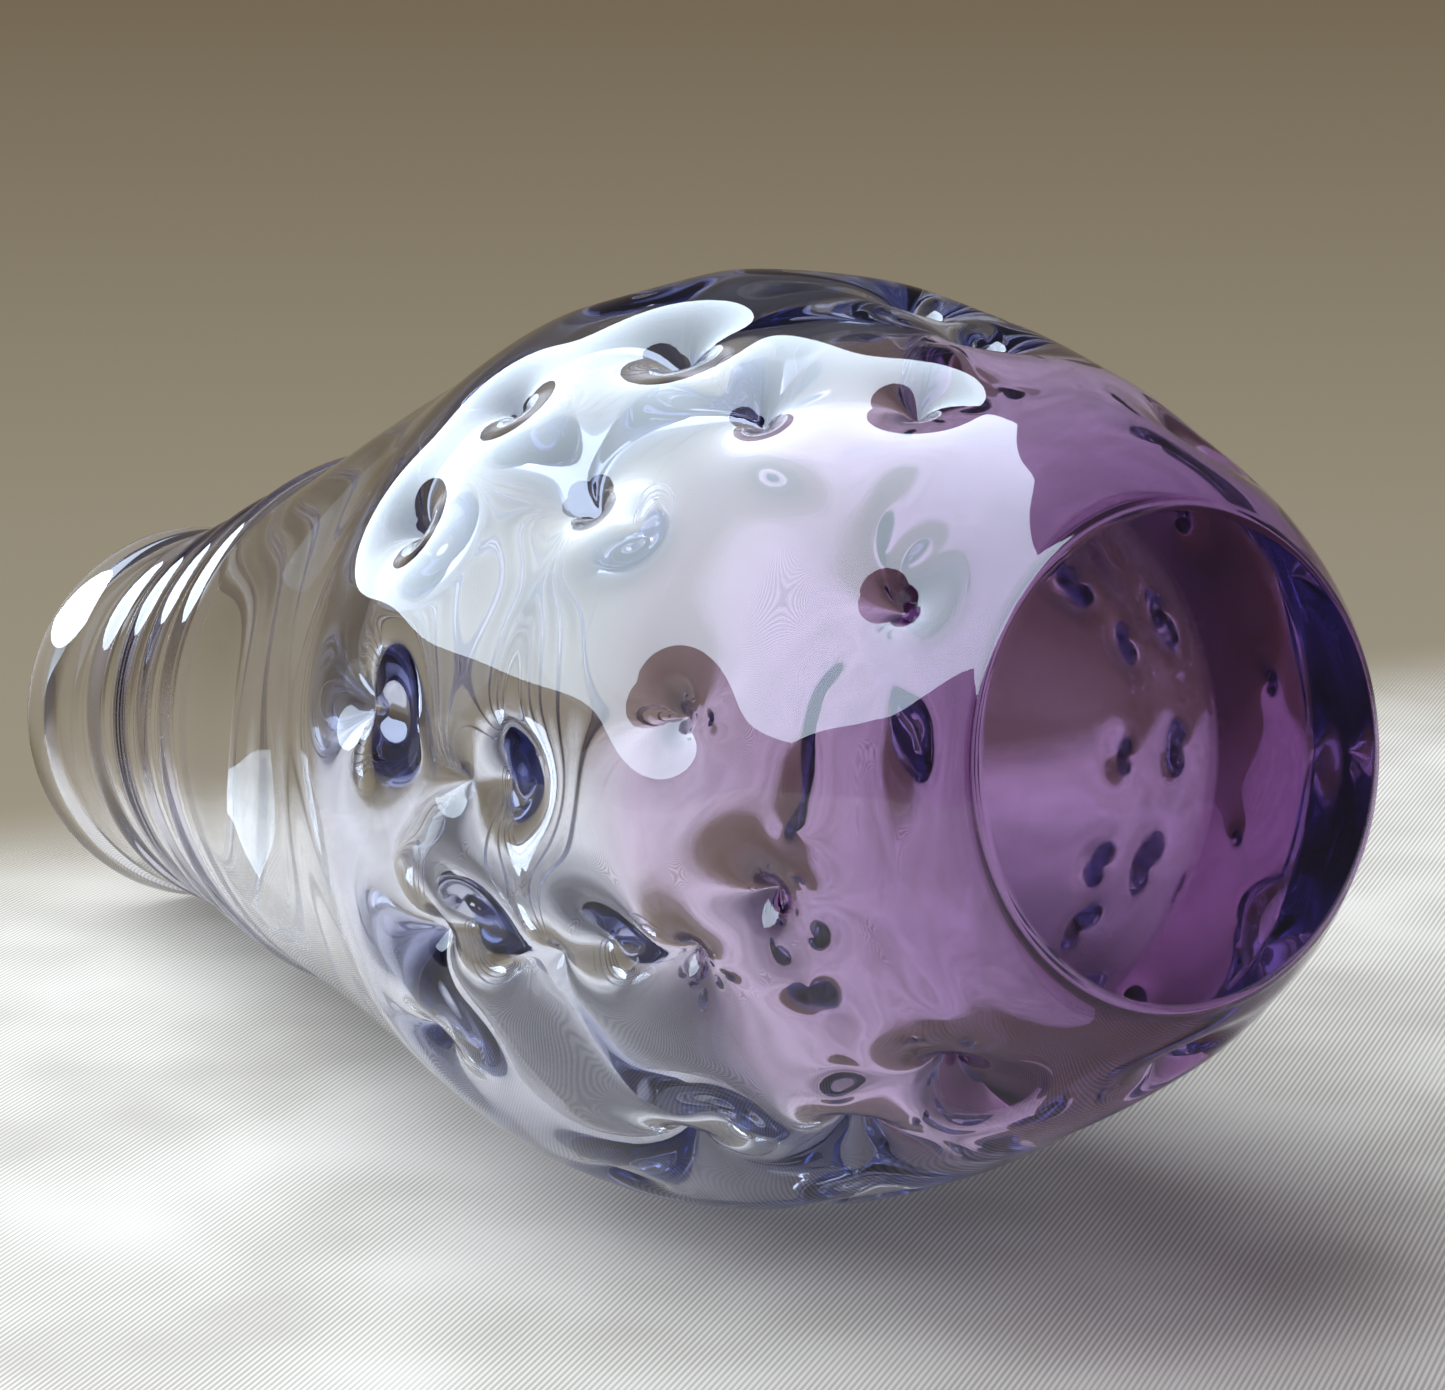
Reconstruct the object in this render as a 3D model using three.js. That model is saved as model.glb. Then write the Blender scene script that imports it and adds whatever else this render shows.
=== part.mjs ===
// A thick-walled, hand-blown art glass bottle: a heavy flat base, a dimpled pear-shaped body,
// a tapering shoulder and a wide neck with four soft rings under a rolled lip.
// Millimetres, +Z up, origin at the centre of the underside.

import * as THREE from 'three';

// ---- Heights above the table -------------------------------------------------------------
const HEIGHT = 241; // table to the top of the lip
const LIP_HEIGHT = 14; // rolled bead of glass on the neck's end
const NECK_LENGTH = 62; // shoulder to lip
const SHOULDER_LENGTH = 56; // end of the dimpled wall to the neck
const BELLY_HEIGHT = 79; // the widest place
const BASE_HEIGHT = 42; // the gather that holds the solid foot and the cavity's bowl

// ---- Outside radii -----------------------------------------------------------------------
const FOOT_RADIUS = 26; // ground flat underneath
const HEEL_RADIUS = 31.5; // where the rounded heel ends
const HEEL_HEIGHT = 7;
const FLANK_RADIUS = 43; // half-way up the flare
const FLANK_HEIGHT = 29;
const BELLY_RADIUS = 56;
const SHOULDER_RADIUS = 49.5; // foot of the shoulder
const NECK_ROOT_RADIUS = 37.5; // foot of the neck
const NECK_RADIUS = 27; // just under the lip

// ---- Walls and cavity --------------------------------------------------------------------
const FOOT_THICKNESS = 28; // solid glass under the cavity
const BOWL_DEPTH = 30; // height of the cavity's rounded bottom
const BODY_WALL = 8;
const NECK_WALL = 4.5;

// ---- Rings and lip -----------------------------------------------------------------------
const RING_COUNT = 4;
const RING_WIDTH = 12;
const RING_SPACING = 2.5; // bare neck between two rings
const FIRST_RING_DROP = 6; // bare neck between the lip and the first ring
const RING_RELIEF = 1.3; // how far a ring stands proud of the neck
const LIP_RELIEF = 1; // how far the lip bulges past the neck

// ---- Dimples: pits pinched into the hot wall, each a soft funnel with a small core ----------
const DIMPLE_SPREAD = 7.5; // radius at which a funnel has mostly levelled out
const DIMPLE_DEPTH = 4.5;
const PUSH_THROUGH = 0.9; // share of a dimple's depth that shows as a cone inside
// Rows round the wall: height, how many, the first one's azimuth, and how far they stray up or down.
const DIMPLE_ROWS = [
  { height: 18, count: 8, turn: 22, stray: 8 },
  { height: 34, count: 9, turn: -4, stray: 4 },
  { height: 55, count: 12, turn: -3, stray: 5 },
  { height: 76, count: 16, turn: 0, stray: 6 },
];
const DIMPLE_WANDER = 4; // degrees that a dimple strays round its row
const SIZE_SPREAD = 0.3; // share by which dimples differ from the middling one

// ---- Making ------------------------------------------------------------------------------
const JOIN_GAP = 0.3; // clearance that keeps each gather a solid of its own
const BODY_SEGMENTS = 80;
const NECK_SEGMENTS = 48;
const BODY_STEP = 4.6; // height of one band of faces on the dimpled wall
const NECK_STEP = 9;
const BEAD_FACETS = 7; // faces round a ring's or the lip's rounded side

const LIP_START = HEIGHT - LIP_HEIGHT;
const NECK_START = LIP_START - NECK_LENGTH;
const SHOULDER_START = NECK_START - SHOULDER_LENGTH;
const BOWL_TOP = FOOT_THICKNESS + BOWL_DEPTH;
const RING_PITCH = RING_WIDTH + RING_SPACING;

// ---- Profiles ----------------------------------------------------------------------------
const STATIONS = [
  [0, FOOT_RADIUS],
  [HEEL_HEIGHT, HEEL_RADIUS],
  [FLANK_HEIGHT, FLANK_RADIUS],
  [BELLY_HEIGHT, BELLY_RADIUS],
  [SHOULDER_START, SHOULDER_RADIUS],
  [NECK_START, NECK_ROOT_RADIUS],
  [LIP_START, NECK_RADIUS],
  [HEIGHT, NECK_RADIUS],
];

function slopeBetween(a, b) {
  return (b[1] - a[1]) / (b[0] - a[0]);
}

// A slope for each station that never overshoots its neighbours: the harmonic mean of the
// slopes on both sides, and level at a peak.
function stationSlope(index) {
  const before = slopeBetween(STATIONS[Math.max(index - 1, 0)], STATIONS[Math.max(index, 1)]);
  const last = STATIONS.length - 1;
  const after = slopeBetween(STATIONS[Math.min(index, last - 1)], STATIONS[Math.min(index + 1, last)]);
  return before * after > 0 ? (2 * before * after) / (before + after) : 0;
}

const SLOPES = STATIONS.map((_, index) => stationSlope(index));

function outerRadius(z) {
  const clamped = Math.min(Math.max(z, 0), HEIGHT);
  const next = Math.max(1, STATIONS.findIndex((station) => station[0] >= clamped));
  const [z0, r0] = STATIONS[next - 1];
  const [z1, r1] = STATIONS[next];
  const span = z1 - z0;
  const t = (clamped - z0) / span;
  const rise = t * t * (3 - 2 * t);
  const leave = t * (1 - t) * (1 - t) * span * SLOPES[next - 1];
  const arrive = t * t * (t - 1) * span * SLOPES[next];
  return r0 + (r1 - r0) * rise + leave + arrive;
}

function wallAt(z) {
  const towardsNeck = THREE.MathUtils.smoothstep(z, BELLY_HEIGHT, NECK_START);
  return THREE.MathUtils.lerp(BODY_WALL, NECK_WALL, towardsNeck);
}

// Inside radius: the wall's inner face, closing to the axis as an elliptical bowl at the bottom.
function innerRadius(z) {
  const straight = outerRadius(z) - wallAt(z);
  const intoBowl = (BOWL_TOP - z) / BOWL_DEPTH;
  if (intoBowl <= 0) return straight;
  const rim = outerRadius(BOWL_TOP) - wallAt(BOWL_TOP);
  const bowl = rim * Math.sqrt(Math.max(0, 1 - intoBowl * intoBowl));
  return Math.min(straight, bowl);
}

// ---- Dimples -----------------------------------------------------------------------------
// Three swings, out of step with each other, make a row look placed by hand.
const WANDER_SWING = 2.4;
const STRAY_SWING = 3.9;
const SIZE_SWING = 5.1;

const DIMPLES = DIMPLE_ROWS.flatMap((row, level) => Array.from({ length: row.count }, (_, i) => {
  const wander = DIMPLE_WANDER * Math.sin(WANDER_SWING * i + level);
  return {
    z: row.height + row.stray * Math.sin(STRAY_SWING * i + 2 * level),
    angle: THREE.MathUtils.degToRad(row.turn + (360 * i) / row.count + wander),
    size: 1 + SIZE_SPREAD * Math.sin(SIZE_SWING * i + level),
  };
}));

function dimpleDepth(z, angle) {
  const radius = outerRadius(z);
  let depth = 0;
  for (const dimple of DIMPLES) {
    const around = radius * 2 * Math.sin((angle - dimple.angle) / 2);
    const distance = Math.hypot(around, z - dimple.z) / DIMPLE_SPREAD;
    depth += dimple.size * DIMPLE_DEPTH * Math.exp(-distance * distance);
  }
  return depth;
}

// Pulls each vertex of a dimpled wall inwards; the inner face follows by a share of the depth.
function pinchDimples(geometry) {
  const position = geometry.getAttribute('position');
  for (let i = 0; i < position.count; i += 1) {
    const x = position.getX(i);
    const y = position.getY(i);
    const z = position.getZ(i);
    const radius = Math.hypot(x, y);
    const onOutside = radius > outerRadius(z) - wallAt(z) / 2;
    const share = onOutside ? 1 : PUSH_THROUGH * THREE.MathUtils.smoothstep(radius, 0, innerRadius(BOWL_TOP));
    const awayFromFoot = THREE.MathUtils.smoothstep(z, 0, HEEL_HEIGHT);
    const depth = share * awayFromFoot * dimpleDepth(z, Math.atan2(y, x));
    const scale = radius > 0 ? (radius - depth) / radius : 1;
    position.setXY(i, x * scale, y * scale);
  }
  geometry.computeVertexNormals();
  return geometry;
}

// ---- Building blocks ---------------------------------------------------------------------
function heights(low, high, step) {
  const count = Math.max(1, Math.round((high - low) / step));
  return Array.from({ length: count + 1 }, (_, i) => low + ((high - low) * i) / count);
}

// Turns a profile of [radius, height] pairs, going up the outside, round the Z axis.
function turned(profile, segments) {
  const points = profile.map(([radius, z]) => new THREE.Vector2(radius, z));
  const geometry = new THREE.LatheGeometry(points, segments);
  geometry.rotateX(Math.PI / 2);
  return geometry;
}

// A ring of wall between two heights, as a closed profile: up the outside, down the inside.
function wallBand(low, high, step, innerStep) {
  const outside = heights(low, high, step).map((z) => [outerRadius(z), z]);
  const inside = heights(low, high, innerStep).reverse().map((z) => [innerRadius(z), z]);
  return [...outside, ...inside, outside[0]];
}

// ---- Pieces ------------------------------------------------------------------------------
function thickBase() {
  const top = BASE_HEIGHT - JOIN_GAP / 2;
  const heel = heights(0, HEEL_HEIGHT, HEEL_HEIGHT / 3).map((z) => [outerRadius(z), z]);
  const flare = heights(HEEL_HEIGHT, top, BODY_STEP).slice(1).map((z) => [outerRadius(z), z]);
  const bowlSteps = 5;
  const bowl = Array.from({ length: bowlSteps }, (_, i) => {
    const quarter = (Math.PI / 2) * (i / bowlSteps);
    const z = FOOT_THICKNESS + (top - FOOT_THICKNESS) * (1 - Math.sin(quarter));
    return [innerRadius(z), z];
  });
  const profile = [[0, 0], ...heel, ...flare, ...bowl, [0, FOOT_THICKNESS]];
  return pinchDimples(turned(profile, BODY_SEGMENTS));
}

function bodyWall() {
  const low = BASE_HEIGHT + JOIN_GAP / 2;
  const high = SHOULDER_START - JOIN_GAP / 2;
  return pinchDimples(turned(wallBand(low, high, BODY_STEP, BODY_STEP * 2), BODY_SEGMENTS));
}

function shoulder() {
  const low = SHOULDER_START + JOIN_GAP / 2;
  const high = NECK_START - JOIN_GAP / 2;
  return pinchDimples(turned(wallBand(low, high, BODY_STEP * 2, NECK_STEP * 2), BODY_SEGMENTS));
}

function neck() {
  const low = NECK_START + JOIN_GAP / 2;
  const high = LIP_START - JOIN_GAP / 2;
  return turned(wallBand(low, high, NECK_STEP, NECK_STEP * 2), NECK_SEGMENTS);
}

// A soft ring laid round the neck: a flat seat on the glass and a rounded outer side.
function neckRing(centre) {
  const half = RING_WIDTH / 2;
  const crown = heights(-Math.PI / 2, Math.PI / 2, Math.PI / BEAD_FACETS).map((turn) => {
    const z = centre + half * Math.sin(turn);
    return [outerRadius(z) + JOIN_GAP + RING_RELIEF * Math.cos(turn), z];
  });
  return turned([...crown, crown[0]], NECK_SEGMENTS);
}

// The rolled lip: a full bead on the neck's end, rounded at the mouth.
function lip() {
  const low = LIP_START + JOIN_GAP / 2;
  const bore = NECK_RADIUS - NECK_WALL;
  const middle = (low + HEIGHT) / 2;
  const half = (HEIGHT - low) / 2;
  const outside = heights(-Math.PI / 3, Math.PI / 2, Math.PI / BEAD_FACETS).map((turn) => {
    const bulge = NECK_WALL / 2 + LIP_RELIEF;
    return [bore + NECK_WALL / 2 + bulge * Math.cos(turn), middle + half * Math.sin(turn)];
  });
  const inside = heights(Math.PI / 2, Math.PI, Math.PI / BEAD_FACETS).slice(1).map((turn) => (
    [bore + NECK_WALL / 2 + (NECK_WALL / 2) * Math.cos(turn), middle + half * Math.sin(turn)]
  ));
  const profile = [[NECK_RADIUS, low], ...outside, ...inside, [bore, low], [NECK_RADIUS, low]];
  return turned(profile, NECK_SEGMENTS);
}

// ---- Assembly ----------------------------------------------------------------------------
function glass(color) {
  return new THREE.MeshStandardMaterial({ color, roughness: 0.03, metalness: 0 });
}

const bottle = new THREE.Group();

function add(name, geometry, material) {
  const mesh = new THREE.Mesh(geometry, material);
  mesh.name = name;
  bottle.add(mesh);
}

add('thick_base', thickBase(), glass(0x6b2a86));
add('dimpled_body_wall', bodyWall(), glass(0xa79fc4));
add('shoulder', shoulder(), glass(0xb9b3cc));
add('neck', neck(), glass(0xbdb9c8));
for (let ring = 1; ring <= RING_COUNT; ring += 1) {
  const centre = LIP_START - FIRST_RING_DROP - RING_WIDTH / 2 - (ring - 1) * RING_PITCH;
  add(`neck_ring_${ring}`, neckRing(centre), glass(0xc3bfcc));
}
add('lip_wrap', lip(), glass(0xb5b0c2));

export default bottle;
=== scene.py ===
"""Looks of the hand-blown glass bottle: fine glass surfaces, absorption, stage, light and camera.

The bottle stands along +Z in the frame. The picture shows it lying on its side, so the stage and
the camera are set up in a turned frame (table_up, away, right) and the bottle itself never moves.
All lengths are metres.
"""
import math

import bpy
import numpy as np
from mathutils import Matrix, Vector


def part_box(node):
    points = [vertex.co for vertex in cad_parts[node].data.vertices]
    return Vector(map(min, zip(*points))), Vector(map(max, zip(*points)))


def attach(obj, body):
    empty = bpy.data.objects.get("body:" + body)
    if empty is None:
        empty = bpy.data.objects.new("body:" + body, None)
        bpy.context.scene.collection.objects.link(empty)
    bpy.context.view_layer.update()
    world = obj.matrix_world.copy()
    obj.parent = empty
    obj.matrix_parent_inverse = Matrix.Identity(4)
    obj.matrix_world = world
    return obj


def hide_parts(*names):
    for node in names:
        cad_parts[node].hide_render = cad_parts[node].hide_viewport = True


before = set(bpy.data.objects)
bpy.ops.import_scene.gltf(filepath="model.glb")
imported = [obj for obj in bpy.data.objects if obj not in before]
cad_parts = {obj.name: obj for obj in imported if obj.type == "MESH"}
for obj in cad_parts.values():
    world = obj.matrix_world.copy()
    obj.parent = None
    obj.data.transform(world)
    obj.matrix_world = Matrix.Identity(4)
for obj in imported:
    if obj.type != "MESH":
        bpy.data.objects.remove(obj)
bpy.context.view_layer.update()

MM = 0.001

# ---- Where the pieces meet, from the frame ---------------------------------------------------


def joint_height(lower, upper):
    """Half-way up the small gap between two CAD nodes that sit on each other."""
    return (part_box(lower)[1][2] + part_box(upper)[0][2]) / 2


BASE_TOP = joint_height("thick_base", "dimpled_body_wall")
SHOULDER_START = joint_height("dimpled_body_wall", "shoulder")
NECK_START = joint_height("shoulder", "neck")
LIP_START = joint_height("neck", "lip_wrap")
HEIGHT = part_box("lip_wrap")[1][2]

# ---- Sizes of the glass ----------------------------------------------------------------------
FOOT_RADIUS = 26 * MM
FOOT_BEVEL = 0.5 * MM
HEEL_HEIGHT = 7 * MM
HEEL_RADIUS = 31.5 * MM
FLANK_HEIGHT = 29 * MM
FLANK_RADIUS = 43 * MM
BELLY_HEIGHT = 79 * MM
BELLY_RADIUS = 56 * MM
SHOULDER_RADIUS = 49.5 * MM
NECK_ROOT_RADIUS = 37.5 * MM
NECK_RADIUS = 27 * MM
FOOT_THICKNESS = 28 * MM
BOWL_DEPTH = 30 * MM
BODY_WALL = 8 * MM
NECK_WALL = 4.5 * MM
LIP_RELIEF = 1.0 * MM
RING_RELIEF = 1.1 * MM
RING_COUNT = 4
JOIN = 0.01 * MM  # hairline between fused pieces, too thin to see

# Rows of dimples as in the part: height, how many, the first one's azimuth, stray up or down.
DIMPLE_ROWS = [
    (18 * MM, 8, 22, 8 * MM),
    (34 * MM, 9, -4, 4 * MM),
    (55 * MM, 12, -3, 5 * MM),
    (76 * MM, 16, 0, 6 * MM),
]
DIMPLE_WANDER = 4  # degrees that a dimple strays round its row
SIZE_SPREAD = 0.3
WANDER_SWING, STRAY_SWING, SIZE_SWING = 2.4, 3.9, 5.1
CORE_DEPTH = 3.2 * MM  # the sharp pit in a dimple's middle
CORE_WIDTH = 1.7 * MM
CORE_TIP = 0.5 * MM
TENT_DEPTH = 1.7 * MM  # the wide dip that pulls the wall in round the pit
TENT_WIDTH = 7.0 * MM
INNER_DEPTH = 3.2 * MM  # the rounded cone that a pit pushes into the cavity
INNER_WIDTH = 5.5 * MM

DENT_START, DENT_FULL = 1 * MM, 8 * MM  # heights between which dimples fade in above the foot
INNER_DENT_START, INNER_DENT_FULL = 4 * MM, 16 * MM  # the same above the cavity's bottom
WAVE_START, WAVE_FULL = 1 * MM, 10 * MM  # and the same for the ripples outside
INNER_WAVE_FULL = 8 * MM
WAVE_RADIUS = 45 * MM  # radius at which a ripple's length round the bottle is meant

PROFILE_BLUR = 5 * MM  # how widely the joins of the profile are rounded
PROFILE_REACH = 12 * MM
FOOT_KEEP = 14 * MM  # below this the profile gradually keeps its joins
BOWL_BLEND = 2.5 * MM  # softness of the bowl's rim

# ---- Sizes of the faces ----------------------------------------------------------------------
GRID = 0.8 * MM  # on the body
SHOULDER_GRID = 1.2 * MM
FOOT_GRID = 1.2 * MM
FOOT_CENTRE = 1 * MM  # radius of the fan of faces at the foot's centre
BOWL_STEP = 0.02  # of the turn from the bowl's centre to its rim
NECK_GRID = 0.9 * MM
NECK_INNER_GRID = 1 * MM
NECK_ROUND_GRID = 1.1 * MM
RING_GRID = 0.8 * MM
LIP_GRID = 0.5 * MM
LIP_TURN = 0.16  # radians between rows on the lip's round top
CROWD_PULL = 0.6  # share of the way that points move towards a dimple
CROWD_WIDTH = 4 * MM
CROWD_FADE = 5 * MM  # near the joints points stay, so that neighbours meet

rng = np.random.default_rng(20)

# ---- Profile of the outside and of the cavity ------------------------------------------------
STATIONS = np.array([
    (0, FOOT_RADIUS),
    (HEEL_HEIGHT, HEEL_RADIUS),
    (FLANK_HEIGHT, FLANK_RADIUS),
    (BELLY_HEIGHT, BELLY_RADIUS),
    (SHOULDER_START, SHOULDER_RADIUS),
    (NECK_START, NECK_ROOT_RADIUS),
    (LIP_START, NECK_RADIUS),
    (HEIGHT, NECK_RADIUS),
])


def station_slopes():
    """Harmonic mean of the slopes on both sides of a station, and level at a peak."""
    steps = np.diff(STATIONS[:, 1]) / np.diff(STATIONS[:, 0])
    before = np.concatenate([steps[:1], steps])
    after = np.concatenate([steps, steps[-1:]])
    product = before * after
    total = np.where(product > 0, before + after, 1)
    return np.where(product > 0, 2 * product / total, 0)


def cubic_profile(z):
    slopes = station_slopes()
    z = np.clip(z, 0, HEIGHT)
    right = np.clip(np.searchsorted(STATIONS[:, 0], z), 1, len(STATIONS) - 1)
    z0, r0 = STATIONS[right - 1].T
    z1, r1 = STATIONS[right].T
    span = z1 - z0
    t = (z - z0) / span
    rise = t * t * (3 - 2 * t)
    leave = t * (1 - t) ** 2 * span * slopes[right - 1]
    arrive = t * t * (t - 1) * span * slopes[right]
    return r0 + (r1 - r0) * rise + leave + arrive


FINE_Z = np.linspace(0, HEIGHT, 1001)


def smoothed_profile():
    """The outer profile with its joins rounded, so that reflections flow across them."""
    step = FINE_Z[1] - FINE_Z[0]
    offsets = np.arange(-PROFILE_REACH, PROFILE_REACH + step, step)
    weight = np.exp(-(offsets / PROFILE_BLUR) ** 2)
    padded_count = len(FINE_Z) + len(offsets) - 1
    padded = cubic_profile(np.linspace(-PROFILE_REACH, HEIGHT + PROFILE_REACH, padded_count))
    smooth = np.convolve(padded, weight / weight.sum(), mode="valid")[:len(FINE_Z)]
    near_foot = np.clip(FINE_Z / FOOT_KEEP, 0, 1)
    return cubic_profile(FINE_Z) * (1 - near_foot) + smooth * near_foot


PROFILE = smoothed_profile()


def outer_radius(z):
    return np.interp(z, FINE_Z, PROFILE)


def smoothstep(value, low, high):
    t = np.clip((value - low) / (high - low), 0, 1)
    return t * t * (3 - 2 * t)


def wall(z):
    return BODY_WALL + (NECK_WALL - BODY_WALL) * smoothstep(z, BELLY_HEIGHT, NECK_START)


BOWL_TOP = FOOT_THICKNESS + BOWL_DEPTH


def inner_radius(z):
    straight = outer_radius(z) - wall(z)
    rim = outer_radius(BOWL_TOP) - wall(BOWL_TOP)
    into = np.clip((BOWL_TOP - z) / BOWL_DEPTH, -4, 1)
    bowl = rim * np.where(into > 0, np.sqrt(np.maximum(1 - into ** 2, 0)), 1 + into ** 2)
    return -BOWL_BLEND * np.logaddexp(-straight / BOWL_BLEND, -bowl / BOWL_BLEND)


# ---- Dimples and hand-made unevenness --------------------------------------------------------
def lay_dimples():
    """Height, azimuth and size of every dimple: even rows, with swings that hide the evenness."""
    dimples = []
    for level, (height, count, turn, stray) in enumerate(DIMPLE_ROWS):
        for i in range(count):
            z = height + stray * math.sin(STRAY_SWING * i + 2 * level)
            azimuth = turn + 360 * i / count + DIMPLE_WANDER * math.sin(WANDER_SWING * i + level)
            size = 1 + SIZE_SPREAD * math.sin(SIZE_SWING * i + level)
            dimples.append((z, math.radians(azimuth), size))
    return dimples


DIMPLES = lay_dimples()


def cusp(distance, depth, width, tip):
    return depth * np.exp(-(np.sqrt(distance ** 2 + tip ** 2) - tip) / width)


def dip(distance, depth, width):
    return depth * np.exp(-(distance / width) ** 2)


def surface_distance(z, angle, dimple):
    """Distance along the wall from a dimple's middle, round the bottle and up it."""
    centre_z, centre_angle, _ = dimple
    radius = outer_radius(np.asarray(centre_z))
    slant = math.hypot(1, float(outer_radius(centre_z + MM) - outer_radius(centre_z - MM)) / (2 * MM))
    around = 2 * radius * np.sin((angle - centre_angle) / 2)
    behind = np.cos(angle - centre_angle) < 0
    return np.where(behind, 1.0, np.hypot(around, (z - centre_z) * slant))


def outer_dent(z, angle):
    dent = np.zeros(np.broadcast(z, angle).shape)
    for dimple in DIMPLES:
        scale = dimple[2]
        distance = surface_distance(z, angle, dimple)
        dent += scale * cusp(distance, CORE_DEPTH, CORE_WIDTH, CORE_TIP)
        dent += scale * dip(distance, TENT_DEPTH, TENT_WIDTH)
    return dent * smoothstep(z, DENT_START, DENT_FULL)


def inner_dent(z, angle):
    dent = np.zeros(np.broadcast(z, angle).shape)
    for dimple in DIMPLES:
        scale = dimple[2]
        distance = surface_distance(z, angle, dimple)
        dent += scale * dip(distance, INNER_DEPTH, INNER_WIDTH)
    above_bowl = z - FOOT_THICKNESS
    return dent * smoothstep(above_bowl, INNER_DENT_START, INNER_DENT_FULL)


def make_waves(count, longest, shortest, height):
    """Random ripples that close on themselves round the bottle."""
    waves = []
    for _ in range(count):
        length = rng.uniform(shortest, longest)
        most_turns = max(2, round(2 * math.pi * WAVE_RADIUS / length))
        turns = int(rng.integers(0, most_turns))
        waves.append((2 * math.pi / length, turns, rng.uniform(0, 2 * math.pi), rng.normal() * height))
    return waves


OUTER_WAVES = make_waves(10, 90 * MM, 45 * MM, 0.05 * MM)
INNER_WAVES = make_waves(16, 80 * MM, 30 * MM, 0.06 * MM)


def ripples(waves, z, angle):
    total = np.zeros(np.broadcast(z, angle).shape)
    for number, turns, phase, height in waves:
        total += height * np.cos(number * z + turns * angle + phase)
    return total


def crowd(z, angle):
    """Moves grid points towards the nearest dimples, where the surface needs finer faces."""
    new_z, new_angle = z.copy(), angle.copy()
    from_joint = np.minimum(abs(z - BASE_TOP), abs(z - SHOULDER_START))
    freedom = smoothstep(from_joint, 0, CROWD_FADE)
    for centre_z, centre_angle, _ in DIMPLES:
        radius = float(outer_radius(centre_z))
        turn = (angle - centre_angle + math.pi) % (2 * math.pi) - math.pi
        distance = np.hypot(turn * radius, z - centre_z)
        pull = CROWD_PULL * freedom * np.exp(-(distance / CROWD_WIDTH) ** 2)
        new_z -= (z - centre_z) * pull
        new_angle -= turn * pull
    return new_z, new_angle


# ---- Sheets of surface -----------------------------------------------------------------------


def outer_point(z, angle):
    """A point on the outside: the profile, less ripples and dimples, along the profile's normal."""
    slope = (outer_radius(z + 0.5 * MM) - outer_radius(z - 0.5 * MM)) / MM
    length = np.hypot(1, slope)
    dent = outer_dent(z, angle)
    dent += ripples(OUTER_WAVES, z, angle) * smoothstep(z, WAVE_START, WAVE_FULL)
    radius = outer_radius(z) - dent / length
    height = z + dent * slope / length
    return np.stack([radius * np.cos(angle), radius * np.sin(angle), height], axis=-1)


def inner_point(z, angle):
    """A point on the cavity's wall above the bowl's centre."""
    dent = inner_dent(z, angle)
    dent += ripples(INNER_WAVES, z, angle) * smoothstep(z - FOOT_THICKNESS, 0, INNER_WAVE_FULL)
    radius = inner_radius(z) - dent
    return np.stack([radius * np.cos(angle), radius * np.sin(angle), z], axis=-1)


def bowl_point(turn, angle):
    """A point in the rounded bottom: turn goes from 0 at the centre to 1 at the bowl's rim."""
    z = BOWL_TOP - BOWL_DEPTH * np.cos(turn * math.pi / 2)
    return inner_point(z, angle)


def steps(low, high, size):
    return np.linspace(low, high, max(2, round(abs(high - low) / size) + 1))


def grid_normals(points, sign):
    """Normals of a grid of rows that close round the bottle, from its neighbours' places."""
    along = np.gradient(points, axis=0)
    around = (np.roll(points, -1, axis=1) - np.roll(points, 1, axis=1)) / 2
    normal = np.cross(around, along) * sign
    return normal / np.maximum(np.linalg.norm(normal, axis=-1, keepdims=True), 1e-12)


def sheet(heights, point, columns, sign):
    """Rows of points and normals over heights, made one row too long at both ends and trimmed."""
    angle = np.linspace(0, 2 * math.pi, columns, endpoint=False)
    before = 2 * heights[0] - heights[1]
    after = 2 * heights[-1] - heights[-2]
    rows = np.concatenate([[before], heights, [after]])
    z_grid, angle_grid = np.meshgrid(rows, angle, indexing="ij")
    if point is not bowl_point:
        z_grid, angle_grid = crowd(z_grid, angle_grid)
    points = point(z_grid, angle_grid)
    normals = grid_normals(points, sign)
    return points[1:-1], normals[1:-1]


GLASS, FUSED = 1.0, 0.0  # a face's share of glass surface: none where it is fused to a neighbour


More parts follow.
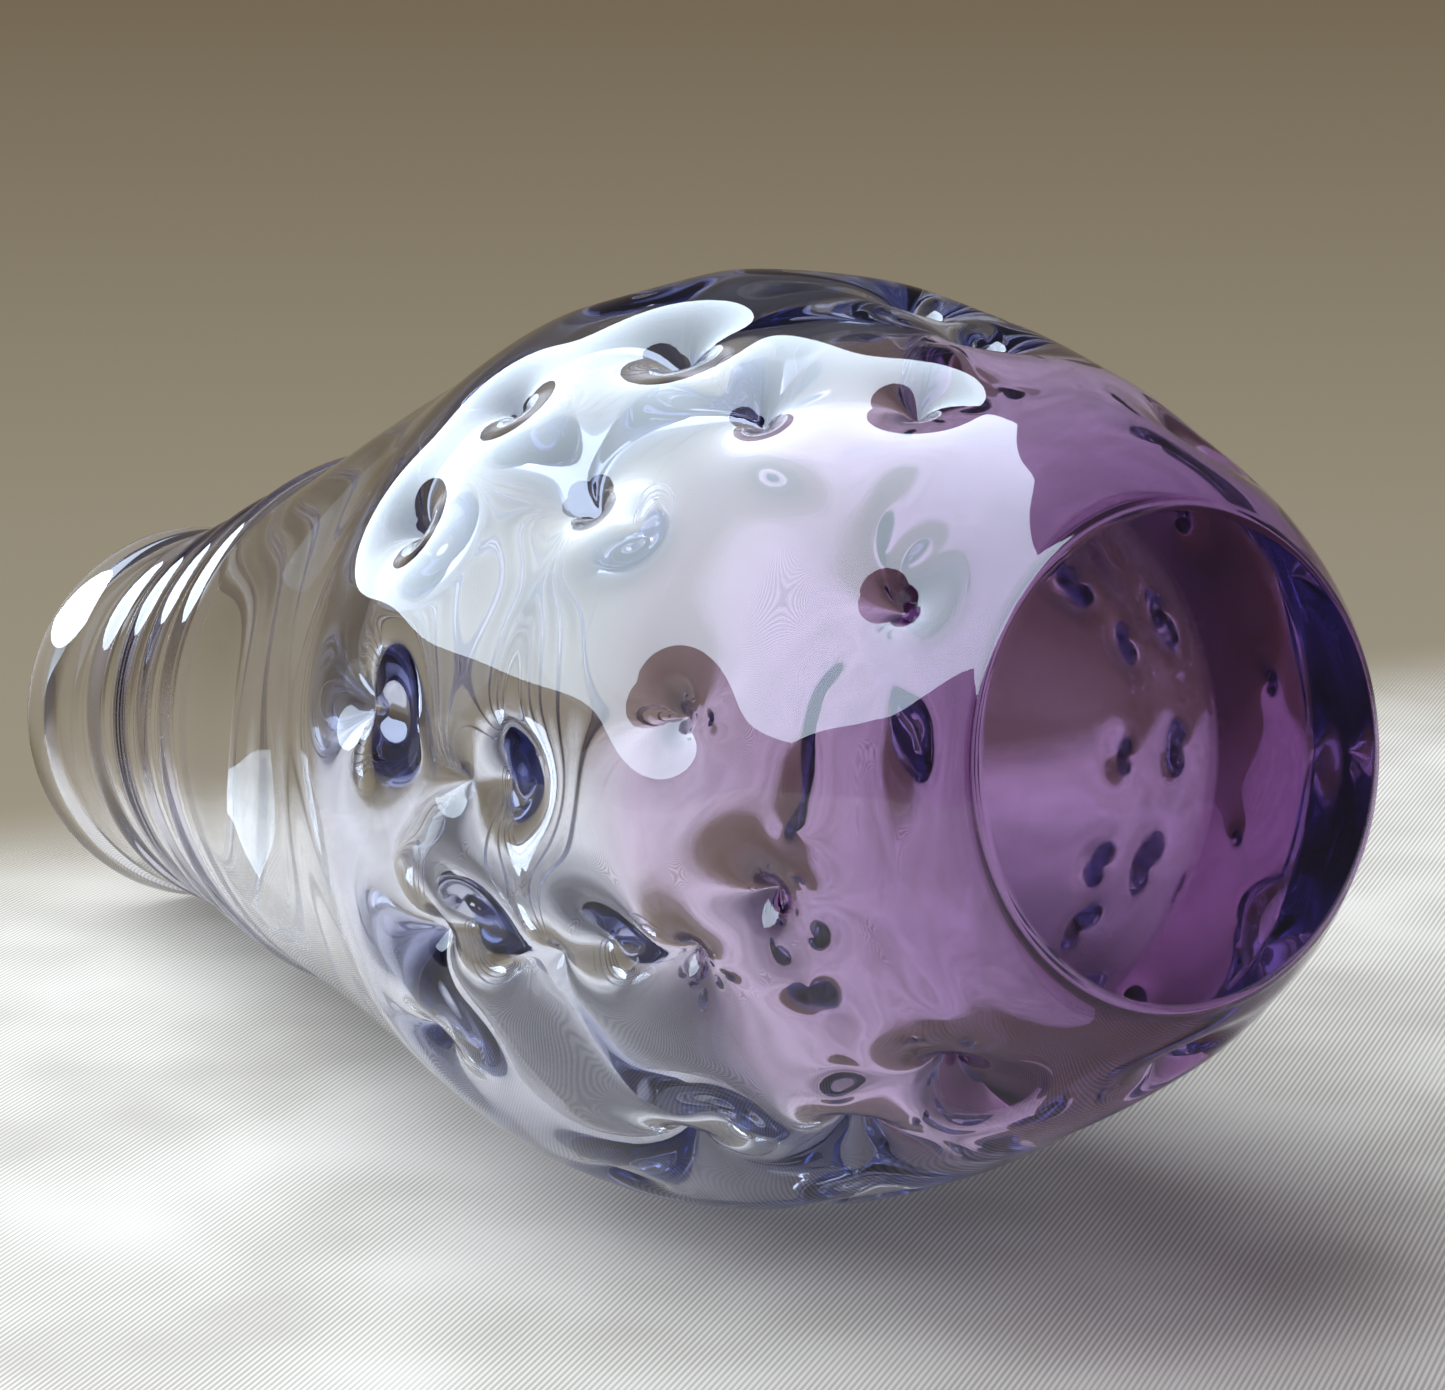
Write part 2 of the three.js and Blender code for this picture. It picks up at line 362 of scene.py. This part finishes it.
def build(name, sheets, bands, caps=None, fused_rows=()):
    """One closed body from sheets of rows in order round its section.

    bands says what each strip between sheets is, and fused_rows lists the other strips that are
    fused to a neighbour. caps are the centre points that close the first and last rows;
    without them the last sheet closes on the first."""
    rows = np.concatenate([points for points, _ in sheets])
    normals = np.concatenate([normal for _, normal in sheets])
    count, columns = rows.shape[:2]
    vertices = rows.reshape(-1, 3)
    vertex_normals = normals.reshape(-1, 3)
    ends = np.cumsum([len(points) for points, _ in sheets])
    column = np.arange(columns)
    following = (column + 1) % columns
    faces, surface = [], []
    for row in range(count - 1 if caps else count):
        above = (row + 1) % count
        strip = np.stack([row * columns + column, row * columns + following,
                          above * columns + following, above * columns + column], axis=1)
        faces.append(strip)
        share = FUSED if row in fused_rows else GLASS
        if row + 1 in ends:
            share = bands[int(np.searchsorted(ends, row + 1))]
        surface += [share] * columns
    faces = np.concatenate(faces).tolist()
    if caps:
        first, last = len(vertices), len(vertices) + 1
        vertices = np.concatenate([vertices, [caps[0]], [caps[1]]])
        vertex_normals = np.concatenate([vertex_normals, [[0, 0, -1]], [[0, 0, 1]]])
        top = (count - 1) * columns
        faces += np.stack([np.full(columns, first), following, column], axis=1).tolist()
        faces += np.stack([np.full(columns, last), top + column, top + following], axis=1).tolist()
        surface += [GLASS] * (2 * columns)
    mesh = bpy.data.meshes.new(name)
    mesh.from_pydata(vertices.tolist(), [], faces)
    mesh.attributes.new("surface", "FLOAT", "FACE").data.foreach_set("value", surface)
    mesh.polygons.foreach_set("use_smooth", [True] * len(faces))
    mesh.update()
    mesh.normals_split_custom_set_from_vertices(vertex_normals.tolist())
    piece = bpy.data.objects.new(name, mesh)
    bpy.context.scene.collection.objects.link(piece)
    return piece


BODY_COLUMNS = round(2 * math.pi * BELLY_RADIUS / GRID)
NECK_COLUMNS = round(2 * math.pi * NECK_ROOT_RADIUS / NECK_ROUND_GRID)


def trim(sheet_rows, low, high):
    """Sets the first and last rows' joins a hairline inside the piece."""
    points, normals = sheet_rows
    points = points.copy()
    points[0, :, 2] += low
    points[-1, :, 2] += high
    return points, normals


# ---- Pieces ----------------------------------------------------------------------------------


def foot_sheet():
    """The ground flat, from near its centre out to its bevel."""
    radii = steps(FOOT_CENTRE, FOOT_RADIUS - 2 * FOOT_BEVEL, FOOT_GRID)
    angle = np.linspace(0, 2 * math.pi, BODY_COLUMNS, endpoint=False)
    points = np.zeros((len(radii), BODY_COLUMNS, 3))
    points[..., 0] = radii[:, None] * np.cos(angle)
    points[..., 1] = radii[:, None] * np.sin(angle)
    normals = np.zeros_like(points)
    normals[..., 2] = -1
    return points, normals


def make_base():
    outside = sheet(steps(FOOT_BEVEL, BASE_TOP, GRID), outer_point, BODY_COLUMNS, 1)
    rim = math.acos((BOWL_TOP - BASE_TOP) / BOWL_DEPTH) / (math.pi / 2)
    bowl = sheet(steps(rim, BOWL_STEP, BOWL_STEP), bowl_point, BODY_COLUMNS, 1)
    sheets = [foot_sheet(), trim(outside, 0, -JOIN), trim(bowl, -JOIN, 0)]
    centres = ((0, 0, 0), (0, 0, FOOT_THICKNESS))
    return build("thick_base_glass", sheets, [GLASS, FUSED, GLASS], caps=centres)


def make_wall(name, low, high, columns, size):
    outside = trim(sheet(steps(low, high, size), outer_point, columns, 1), JOIN, -JOIN)
    inside = trim(sheet(steps(high, low, size), inner_point, columns, 1), -JOIN, JOIN)
    return build(name, [outside, inside], [FUSED, FUSED])


def ring_span(number):
    low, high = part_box(f"neck_ring_{number}")
    return low[2], high[2]


def make_neck():
    """The neck, whose outside is fused to the rings where they lie on it."""
    edges = [NECK_START]
    for number in range(RING_COUNT, 0, -1):
        edges += ring_span(number)
    edges.append(LIP_START)
    heights, fused = [NECK_START], []
    for index, (low, high) in enumerate(zip(edges, edges[1:])):
        part = steps(low, high, NECK_GRID)[1:]
        if index % 2:
            fused += range(len(heights) - 1, len(heights) - 1 + len(part))
        heights += list(part)
    outside = trim(sheet(np.array(heights), outer_point, NECK_COLUMNS, 1), JOIN, -JOIN)
    inner_heights = steps(LIP_START, NECK_START, NECK_INNER_GRID)
    inside = trim(sheet(inner_heights, inner_point, NECK_COLUMNS, 1), -JOIN, JOIN)
    return build("neck_glass", [outside, inside], [FUSED, FUSED], fused_rows=set(fused))


def radial(angle):
    return np.stack([np.cos(angle), np.sin(angle), np.zeros_like(angle)], axis=-1)


def make_ring(number):
    """A soft swelling that rises from the neck and sinks back into it."""
    low, high = ring_span(number)

    def crown(z, angle):
        across = np.clip((2 * z - low - high) / (high - low), -1, 1)
        lift = JOIN + RING_RELIEF * np.cos(across * math.pi / 2) ** 2
        return outer_point(z, angle) + lift[..., None] * radial(angle)

    def seat(z, angle):
        return outer_point(z, angle) + JOIN * radial(angle)

    outside = sheet(steps(low, high, RING_GRID), crown, NECK_COLUMNS, 1)
    inside = sheet(steps(high - RING_GRID, low + RING_GRID, RING_GRID), seat, NECK_COLUMNS, 1)
    first_inside = len(outside[0])
    fused = set(range(first_inside, first_inside + len(inside[0]) - 1))
    return build(f"neck_ring_{number}_glass", [outside, inside], [FUSED, FUSED], fused_rows=fused)


def make_lip():
    """The rolled lip: a soft bulge outside, a round top and a straight bore."""
    bore = NECK_RADIUS - NECK_WALL
    bead = (NECK_RADIUS + LIP_RELIEF - bore) / 2
    shoulder_z = HEIGHT - bead
    side = steps(LIP_START, shoulder_z, LIP_GRID)
    swell = LIP_RELIEF * smoothstep(side, LIP_START, shoulder_z)
    turn = steps(0, math.pi, LIP_TURN)[1:-1]
    radius = np.concatenate([outer_radius(side) + swell, bore + bead + bead * np.cos(turn),
                             inner_radius(side[::-1])])
    height = np.concatenate([side, shoulder_z + bead * np.sin(turn), side[::-1]])
    outward = np.concatenate([np.ones(len(side)), (1 + np.cos(turn)) / 2, np.zeros(len(side))])
    order = np.arange(len(radius))

    def point(row, angle):
        z = np.interp(row, order, height)
        share = np.interp(row, order, outward)
        wave = share * ripples(OUTER_WAVES, z, angle) + (1 - share) * ripples(INNER_WAVES, z, angle)
        r = np.interp(row, order, radius) - wave
        return np.stack([r * np.cos(angle), r * np.sin(angle), z], axis=-1)

    rows = trim(sheet(order.astype(float), point, NECK_COLUMNS, 1), JOIN, JOIN)
    return build("lip_wrap_glass", [rows], [FUSED])


# ---- Node helpers ----------------------------------------------------------------------------


def dot_with(tree, vector, axis):
    dot = tree.nodes.new("ShaderNodeVectorMath")
    dot.operation = "DOT_PRODUCT"
    dot.inputs[1].default_value = axis
    tree.links.new(vector, dot.inputs[0])
    return dot.outputs["Value"]


def map_range(tree, value, from_low, from_high, to_low=0.0, to_high=1.0):
    remap = tree.nodes.new("ShaderNodeMapRange")
    remap.interpolation_type = "SMOOTHSTEP"
    for socket, amount in zip(("From Min", "From Max", "To Min", "To Max"),
                              (from_low, from_high, to_low, to_high)):
        remap.inputs[socket].default_value = amount
    tree.links.new(value, remap.inputs["Value"])
    return remap.outputs["Result"]


def calculate(tree, operation, first, second):
    node = tree.nodes.new("ShaderNodeMath")
    node.operation = operation
    for socket, value in zip(node.inputs, (first, second)):
        if isinstance(value, (int, float)):
            socket.default_value = value
        else:
            tree.links.new(value, socket)
    return node.outputs["Value"]


# ---- Glass -----------------------------------------------------------------------------------
GLASS_IOR = 1.5
NOISE_DETAIL = 3
NOISE_LOW, NOISE_HIGH = 0.35, 0.65  # the noise texture's usual range
FOOT_SCUFF = 0.10  # roughness of the scratches under the foot
FOOT_SCUFF_SCALE = 900
POLISH_HAZE = 0.012  # roughness of the fire-polished rest
POLISH_SCALE = 60

# Each slot's tint and how strongly it absorbs, per metre of glass.
BASE_TINT, BASE_DENSITY = (0.52, 0.20, 0.60), 60
WALL_TINT, WALL_DENSITY = (0.34, 0.40, 0.74), 22
NECK_TINT, NECK_DENSITY = (0.40, 0.38, 0.66), 18

def add_absorption(tree, output, tint, density):
    volume = tree.nodes.new("ShaderNodeVolumeAbsorption")
    volume.inputs["Color"].default_value = (*tint, 1)
    volume.inputs["Density"].default_value = density
    tree.links.new(volume.outputs["Volume"], output.inputs["Volume"])


def new_material(name):
    material = bpy.data.materials.new(name)
    material.use_nodes = True
    tree = material.node_tree
    tree.nodes.clear()
    output = tree.nodes.new("ShaderNodeOutputMaterial")
    return material, tree, output


def noise_between(tree, scale, low, high):
    """A value that wanders between low and high over the surface; scale is in cycles per metre."""
    nodes, links = tree.nodes, tree.links
    coords = nodes.new("ShaderNodeTexCoord")
    noise = nodes.new("ShaderNodeTexNoise")
    noise.inputs["Scale"].default_value = scale
    noise.inputs["Detail"].default_value = NOISE_DETAIL
    spread = nodes.new("ShaderNodeMapRange")
    spread.inputs["From Min"].default_value = NOISE_LOW
    spread.inputs["From Max"].default_value = NOISE_HIGH
    spread.inputs["To Min"].default_value = low
    spread.inputs["To Max"].default_value = high
    links.new(coords.outputs["Object"], noise.inputs["Vector"])
    links.new(noise.outputs["Fac"], spread.inputs["Value"])
    return spread.outputs["Result"]


def foot_wear(tree):
    """Roughness of the foot: fine scratches where it slides on a shelf, none above its edge."""
    split = tree.nodes.new("ShaderNodeSeparateXYZ")
    place = tree.nodes.new("ShaderNodeTexCoord").outputs["Object"]
    tree.links.new(place, split.inputs["Vector"])
    near_foot = map_range(tree, split.outputs["Z"], FOOT_BEVEL / 2, 2 * FOOT_BEVEL, 1, 0)
    scuff = noise_between(tree, FOOT_SCUFF_SCALE, 0.0, FOOT_SCUFF)
    return calculate(tree, "MULTIPLY", near_foot, scuff)


def make_glass(name, tint, density, roughness):
    """Tinted glass. Faces between two amounts of the same glass show nothing: only the tint counts."""
    material, tree, output = new_material(name)
    shader = tree.nodes.new("ShaderNodeBsdfPrincipled")
    shader.inputs["Base Color"].default_value = (1, 1, 1, 1)
    shader.inputs["IOR"].default_value = GLASS_IOR
    shader.inputs["Transmission Weight"].default_value = 1
    surface = tree.nodes.new("ShaderNodeAttribute")
    surface.attribute_name = "surface"
    tree.links.new(surface.outputs["Fac"], shader.inputs["Alpha"])
    tree.links.new(roughness(tree), shader.inputs["Roughness"])
    tree.links.new(shader.outputs["BSDF"], output.inputs["Surface"])
    add_absorption(tree, output, tint, density)
    return material


def fire_polish(tree):
    return noise_between(tree, POLISH_SCALE, 0.0, POLISH_HAZE)


def finish_piece(piece, nodes, glass):
    piece.data.materials.append(glass)
    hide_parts(*nodes)
    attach(piece, "root")


base_glass = make_glass("base_glass", BASE_TINT, BASE_DENSITY, foot_wear)
wall_glass = make_glass("wall_glass", WALL_TINT, WALL_DENSITY, fire_polish)
neck_glass = make_glass("neck_glass", NECK_TINT, NECK_DENSITY, fire_polish)

finish_piece(make_base(), ["thick_base"], base_glass)
body = make_wall("dimpled_body_glass", BASE_TOP, SHOULDER_START, BODY_COLUMNS, GRID)
finish_piece(body, ["dimpled_body_wall"], wall_glass)
shoulder = make_wall("shoulder_glass", SHOULDER_START, NECK_START, BODY_COLUMNS, SHOULDER_GRID)
finish_piece(shoulder, ["shoulder"], wall_glass)
finish_piece(make_neck(), ["neck"], neck_glass)
for ring_number in range(1, RING_COUNT + 1):
    ring = make_ring(ring_number)
    finish_piece(ring, [f"neck_ring_{ring_number}"], neck_glass)
finish_piece(make_lip(), ["lip_wrap"], neck_glass)

# ---- The lying frame: the bottle rests on its belly and lip ------------------------------------
ROLL = math.radians(-9.5)  # azimuth of the side that faces up while it lies
LEAN = math.atan2(BELLY_RADIUS - NECK_RADIUS - LIP_RELIEF, HEIGHT - LIP_RELIEF - BELLY_HEIGHT)
TABLE_UP = Vector((math.cos(LEAN) * math.cos(ROLL), math.cos(LEAN) * math.sin(ROLL), -math.sin(LEAN)))
TABLE_LEVEL = -BELLY_RADIUS * math.cos(LEAN) - BELLY_HEIGHT * math.sin(LEAN)

CAMERA_PLACE = Vector((0, -256 * MM, -320 * MM))
CAMERA_AXIS = Vector((0.0103, 0.5303, 0.8477)).normalized()
LENS_MM = 99.66
SENSOR_MM = 36


def facing(back):
    """Turn of a camera or lamp that looks against back, level with the table."""
    right = TABLE_UP.cross(back).normalized()
    up = back.cross(right)
    return Matrix((right, up, back)).transposed().to_4x4()


def make_camera():
    data = bpy.data.cameras.new("camera")
    data.lens = LENS_MM
    data.sensor_width = SENSOR_MM
    data.clip_start = 0.01
    data.clip_end = 20
    camera = bpy.data.objects.new("camera", data)
    camera.matrix_world = Matrix.Translation(CAMERA_PLACE) @ facing(-CAMERA_AXIS)
    bpy.context.scene.collection.objects.link(camera)
    bpy.context.scene.camera = camera


make_camera()
AWAY = (CAMERA_AXIS - CAMERA_AXIS.dot(TABLE_UP) * TABLE_UP).normalized()
RIGHT = AWAY.cross(TABLE_UP)


def toward(azimuth, elevation):
    """Direction in the lying frame: azimuth 0 is away from the camera, positive to the right."""
    a, e = math.radians(azimuth), math.radians(elevation)
    level = AWAY * math.cos(a) + RIGHT * math.sin(a)
    return level * math.cos(e) + TABLE_UP * math.sin(e)


# ---- Stage -----------------------------------------------------------------------------------


FLOOR_HALF = 0.6
RIB_PITCH = 0.7 * MM
RIB_DIRECTION = 20  # degrees from RIGHT, in the table plane
CLOTH_END = 0.200  # how far away the pale cloth gives way to the backdrop
CLOTH_SLANT = 0.51  # and how much farther per metre to the right
CLOTH_FADE = 0.05
CLOTH_DARK = (0.48, 0.41, 0.34)
CLOTH_LIGHT = (0.80, 0.70, 0.60)
RIB_SHARE = 0.25  # how much the ribs count against the patches
PATCH_SCALE = 30
TONE_DARK, TONE_LIGHT = 0.2, 0.8


def make_floor():
    """A pale ribbed cloth under the lying bottle, seen only from above and fading out far away."""
    centre = Vector((0, 0, BELLY_HEIGHT))
    centre += (TABLE_LEVEL - centre.dot(TABLE_UP)) * TABLE_UP
    square = ((-1, -1), (1, -1), (1, 1), (-1, 1))
    corners = [centre + (RIGHT * x + AWAY * y) * FLOOR_HALF for x, y in square]
    mesh = bpy.data.meshes.new("floor")
    mesh.from_pydata([tuple(corner) for corner in corners], [], [(0, 1, 2, 3)])
    floor = bpy.data.objects.new("floor", mesh)
    bpy.context.scene.collection.objects.link(floor)
    material, tree, output = new_material("floor_cloth")
    nodes, links = tree.nodes, tree.links
    place = nodes.new("ShaderNodeTexCoord").outputs["Object"]
    turn = math.radians(RIB_DIRECTION)
    across = RIGHT * math.cos(turn) - AWAY * math.sin(turn)
    phase = calculate(tree, "MULTIPLY", dot_with(tree, place, across), 2 * math.pi / RIB_PITCH)
    rib = calculate(tree, "SINE", phase, 0)
    patchy = nodes.new("ShaderNodeTexNoise")
    patchy.inputs["Scale"].default_value = PATCH_SCALE
    links.new(place, patchy.inputs["Vector"])
    ribs = calculate(tree, "MULTIPLY", rib, RIB_SHARE)
    tone = calculate(tree, "ADD", ribs, patchy.outputs["Fac"])
    color = nodes.new("ShaderNodeMix")
    color.data_type = "RGBA"
    color.inputs["A"].default_value = (*CLOTH_DARK, 1)
    color.inputs["B"].default_value = (*CLOTH_LIGHT, 1)
    links.new(map_range(tree, tone, TONE_DARK, TONE_LIGHT), color.inputs["Factor"])
    cloth = nodes.new("ShaderNodeBsdfDiffuse")
    links.new(color.outputs["Result"], cloth.inputs["Color"])
    clear = nodes.new("ShaderNodeBsdfTransparent")
    far = calculate(tree, "SUBTRACT", dot_with(tree, place, AWAY),
                    calculate(tree, "MULTIPLY", dot_with(tree, place, RIGHT), CLOTH_SLANT))
    start = centre.dot(AWAY) - CLOTH_SLANT * centre.dot(RIGHT) + CLOTH_END
    fade = map_range(tree, far, start - CLOTH_FADE, start + CLOTH_FADE)
    under = nodes.new("ShaderNodeNewGeometry").outputs["Backfacing"]
    mix = nodes.new("ShaderNodeMixShader")
    links.new(calculate(tree, "MAXIMUM", fade, under), mix.inputs[0])
    links.new(cloth.outputs[0], mix.inputs[1])
    links.new(clear.outputs[0], mix.inputs[2])
    links.new(mix.outputs[0], output.inputs["Surface"])
    floor.data.materials.append(material)


make_floor()

# ---- Light -----------------------------------------------------------------------------------


def area_light(name, azimuth, elevation, distance, width, height, power, color):
    data = bpy.data.lights.new(name, "AREA")
    data.shape = "RECTANGLE"
    data.size, data.size_y = width, height
    data.energy = power
    data.color = color
    lamp = bpy.data.objects.new(name, data)
    direction = toward(azimuth, elevation)
    lamp.matrix_world = Matrix.Translation(direction * distance) @ facing(direction)
    lamp.visible_camera = False
    bpy.context.scene.collection.objects.link(lamp)
    return lamp


WINDOW = dict(azimuth=-80, elevation=50, width=2.5, height=1.9, color=(0.72, 0.86, 1.0))
WINDOW_DISTANCE = 1.2
WINDOW_LAMP_GAP = 0.01
WINDOW_LAMPS = [  # name, power, the kinds of ray that see it
    ("window", 52, ["diffuse"]),
    ("window_through", 6, ["diffuse"]),
    ("window_gleam", 135, ["glossy"]),
    ("window_glow", 15, ["transmission"]),
]


def make_window():
    """One window as four lamps, so that cloth, polish and depth each get their share.

    They lie a little apart, because a mirrored ray meets only the first of lamps in one plane."""
    for index, (name, power, seen_by) in enumerate(WINDOW_LAMPS):
        distance = WINDOW_DISTANCE + index * WINDOW_LAMP_GAP
        lamp = area_light(name, power=power, distance=distance, **WINDOW)
        lamp.visible_diffuse = "diffuse" in seen_by
        lamp.visible_glossy = "glossy" in seen_by
        lamp.visible_transmission = "transmission" in seen_by
        lamp.data.use_shadow = name != "window_through"  # glass lets some light through to the cloth


make_window()

# Colours of the surroundings by the sine of the elevation: ahead of the camera, and all round.
AHEAD_START, AHEAD_FULL = -0.1, 0.5  # cosines off the way ahead between which one gives way
AHEAD = [(-0.40, (0.42, 0.38, 0.31)), (-0.18, (0.30, 0.265, 0.195)), (-0.05, (0.175, 0.14, 0.09)),
         (0.34, (0.06, 0.055, 0.06)), (0.70, (0.08, 0.08, 0.09)), (1.0, (0.24, 0.24, 0.27))]
AROUND = [(-0.10, (0.34, 0.32, 0.31)), (0.02, (0.14, 0.125, 0.12)), (0.30, (0.12, 0.115, 0.12)),
          (0.60, (0.20, 0.19, 0.20)), (1.0, (0.24, 0.24, 0.27))]


def elevation_colors(tree, stops, height):
    ramp = tree.nodes.new("ShaderNodeValToRGB")
    while len(ramp.color_ramp.elements) < len(stops):
        ramp.color_ramp.elements.new(0.5)
    for element, (sine, color) in zip(ramp.color_ramp.elements, stops):
        element.position = (sine + 1) / 2
        element.color = (*color, 1)
    tree.links.new(height, ramp.inputs["Fac"])
    return ramp.outputs["Color"]


def make_world():
    """Surroundings by direction: pale cloth below, warm backdrop ahead, dim room all round."""
    world = bpy.data.worlds.new("studio")
    world.use_nodes = True
    bpy.context.scene.world = world
    tree = world.node_tree
    tree.nodes.clear()
    output = tree.nodes.new("ShaderNodeOutputWorld")
    background = tree.nodes.new("ShaderNodeBackground")
    tree.links.new(background.outputs[0], output.inputs["Surface"])
    direction = tree.nodes.new("ShaderNodeTexCoord").outputs["Generated"]
    height = calculate(tree, "MULTIPLY_ADD", dot_with(tree, direction, TABLE_UP), 0.5)
    height.node.inputs[2].default_value = 0.5
    mix = tree.nodes.new("ShaderNodeMix")
    mix.data_type = "RGBA"
    ahead = map_range(tree, dot_with(tree, direction, AWAY), AHEAD_START, AHEAD_FULL)
    tree.links.new(ahead, mix.inputs["Factor"])
    tree.links.new(elevation_colors(tree, AROUND, height), mix.inputs["A"])
    tree.links.new(elevation_colors(tree, AHEAD, height), mix.inputs["B"])
    tree.links.new(mix.outputs["Result"], background.inputs["Color"])


make_world()

GLASS_BOUNCES = 32  # light crosses many surfaces in glass this thick
CLEAR_BOUNCES = 64  # the faces between fused pieces count too

scene = bpy.context.scene
scene.view_settings.view_transform = "Standard"
scene.cycles.max_bounces = GLASS_BOUNCES
scene.cycles.transmission_bounces = GLASS_BOUNCES
scene.cycles.glossy_bounces = GLASS_BOUNCES
scene.cycles.transparent_max_bounces = CLEAR_BOUNCES
